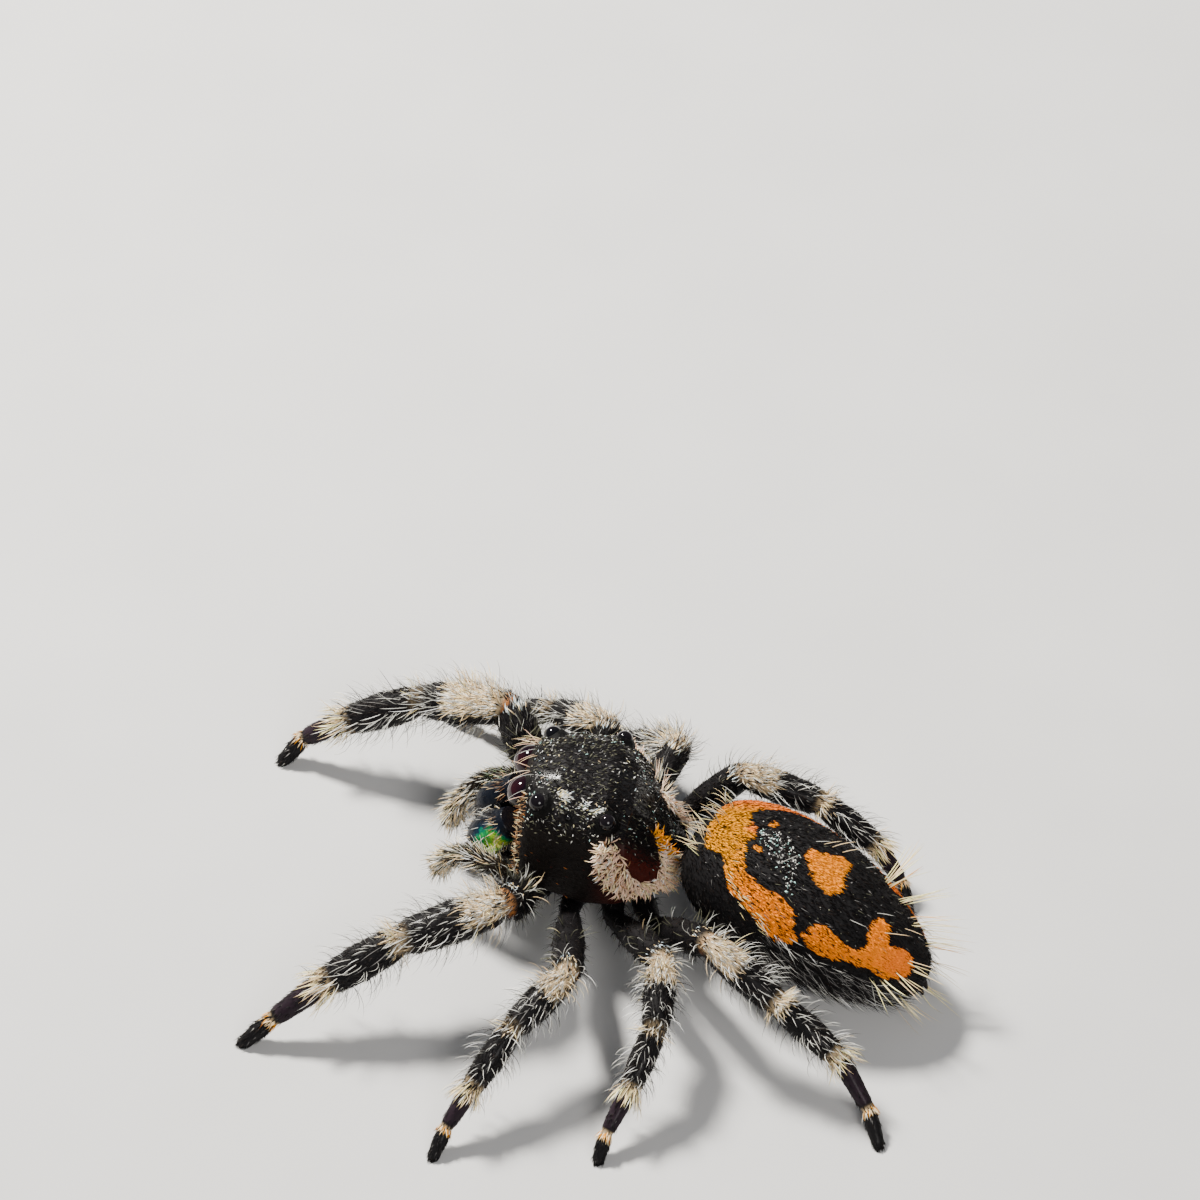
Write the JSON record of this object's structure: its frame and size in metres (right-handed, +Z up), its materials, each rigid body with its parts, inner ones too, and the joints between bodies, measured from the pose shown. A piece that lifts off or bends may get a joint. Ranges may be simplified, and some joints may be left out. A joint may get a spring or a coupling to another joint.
{
  "type": "bold jumping spider",
  "caption": "Still life-size model of a juvenile bold jumping spider on its eight feet, with bristly banded legs, green chelicerae and an orange-marked black abdomen.",
  "frame": {"origin": "on the floor under the middle of the whole spider's box, legs included", "axes": "+X from the head towards the abdomen, +Y towards the spider's right side, +Z up from the floor"},
  "size_m": [0.0116, 0.0096, 0.0036],
  "materials": {
    "carapace_cuticle": "glossy black to dark red cuticle with sparse scales and hairs",
    "eye_lens": "polished black lens",
    "black_cuticle": "satin black cuticle",
    "abdomen_coat": "velvety black hair with orange patches",
    "chelicera_green": "iridescent green over black",
    "fang_brown": "glossy dark red-brown",
    "palp_coat": "pale dense hair",
    "leg_coat": "black hair with white and grey bristles"
  },
  "bodies": {
    "root": {"carapace": "carapace_cuticle", "eye_anterior_median_left": "eye_lens", "eye_anterior_median_right": "eye_lens", "eye_anterior_lateral_left": "eye_lens", "eye_anterior_lateral_right": "eye_lens", "eye_posterior_median_left": "eye_lens", "eye_posterior_median_right": "eye_lens", "eye_posterior_lateral_left": "eye_lens", "eye_posterior_lateral_right": "eye_lens", "sternum": "black_cuticle", "pedicel": "black_cuticle", "abdomen": "abdomen_coat", "spinnerets": "black_cuticle", "chelicera_left": "chelicera_green", "fang_left": "fang_brown", "palp_left": "palp_coat", "chelicera_right": "chelicera_green", "fang_right": "fang_brown", "palp_right": "palp_coat", "leg1_left_femur": "leg_coat", "leg1_left_patella": "leg_coat", "leg1_left_tibia": "leg_coat", "leg1_left_foot": "leg_coat", "leg1_right_femur": "leg_coat", "leg1_right_patella": "leg_coat", "leg1_right_tibia": "leg_coat", "leg1_right_foot": "leg_coat", "leg2_left_femur": "leg_coat", "leg2_left_patella": "leg_coat", "leg2_left_tibia": "leg_coat", "leg2_left_foot": "leg_coat", "leg2_right_femur": "leg_coat", "leg2_right_patella": "leg_coat", "leg2_right_tibia": "leg_coat", "leg2_right_foot": "leg_coat", "leg3_left_femur": "leg_coat", "leg3_left_patella": "leg_coat", "leg3_left_tibia": "leg_coat", "leg3_left_foot": "leg_coat", "leg3_right_femur": "leg_coat", "leg3_right_patella": "leg_coat", "leg3_right_tibia": "leg_coat", "leg3_right_foot": "leg_coat", "leg4_left_femur": "leg_coat", "leg4_left_patella": "leg_coat", "leg4_left_tibia": "leg_coat", "leg4_left_foot": "leg_coat", "leg4_right_femur": "leg_coat", "leg4_right_patella": "leg_coat", "leg4_right_tibia": "leg_coat", "leg4_right_foot": "leg_coat"}
  },
  "joints": []
}
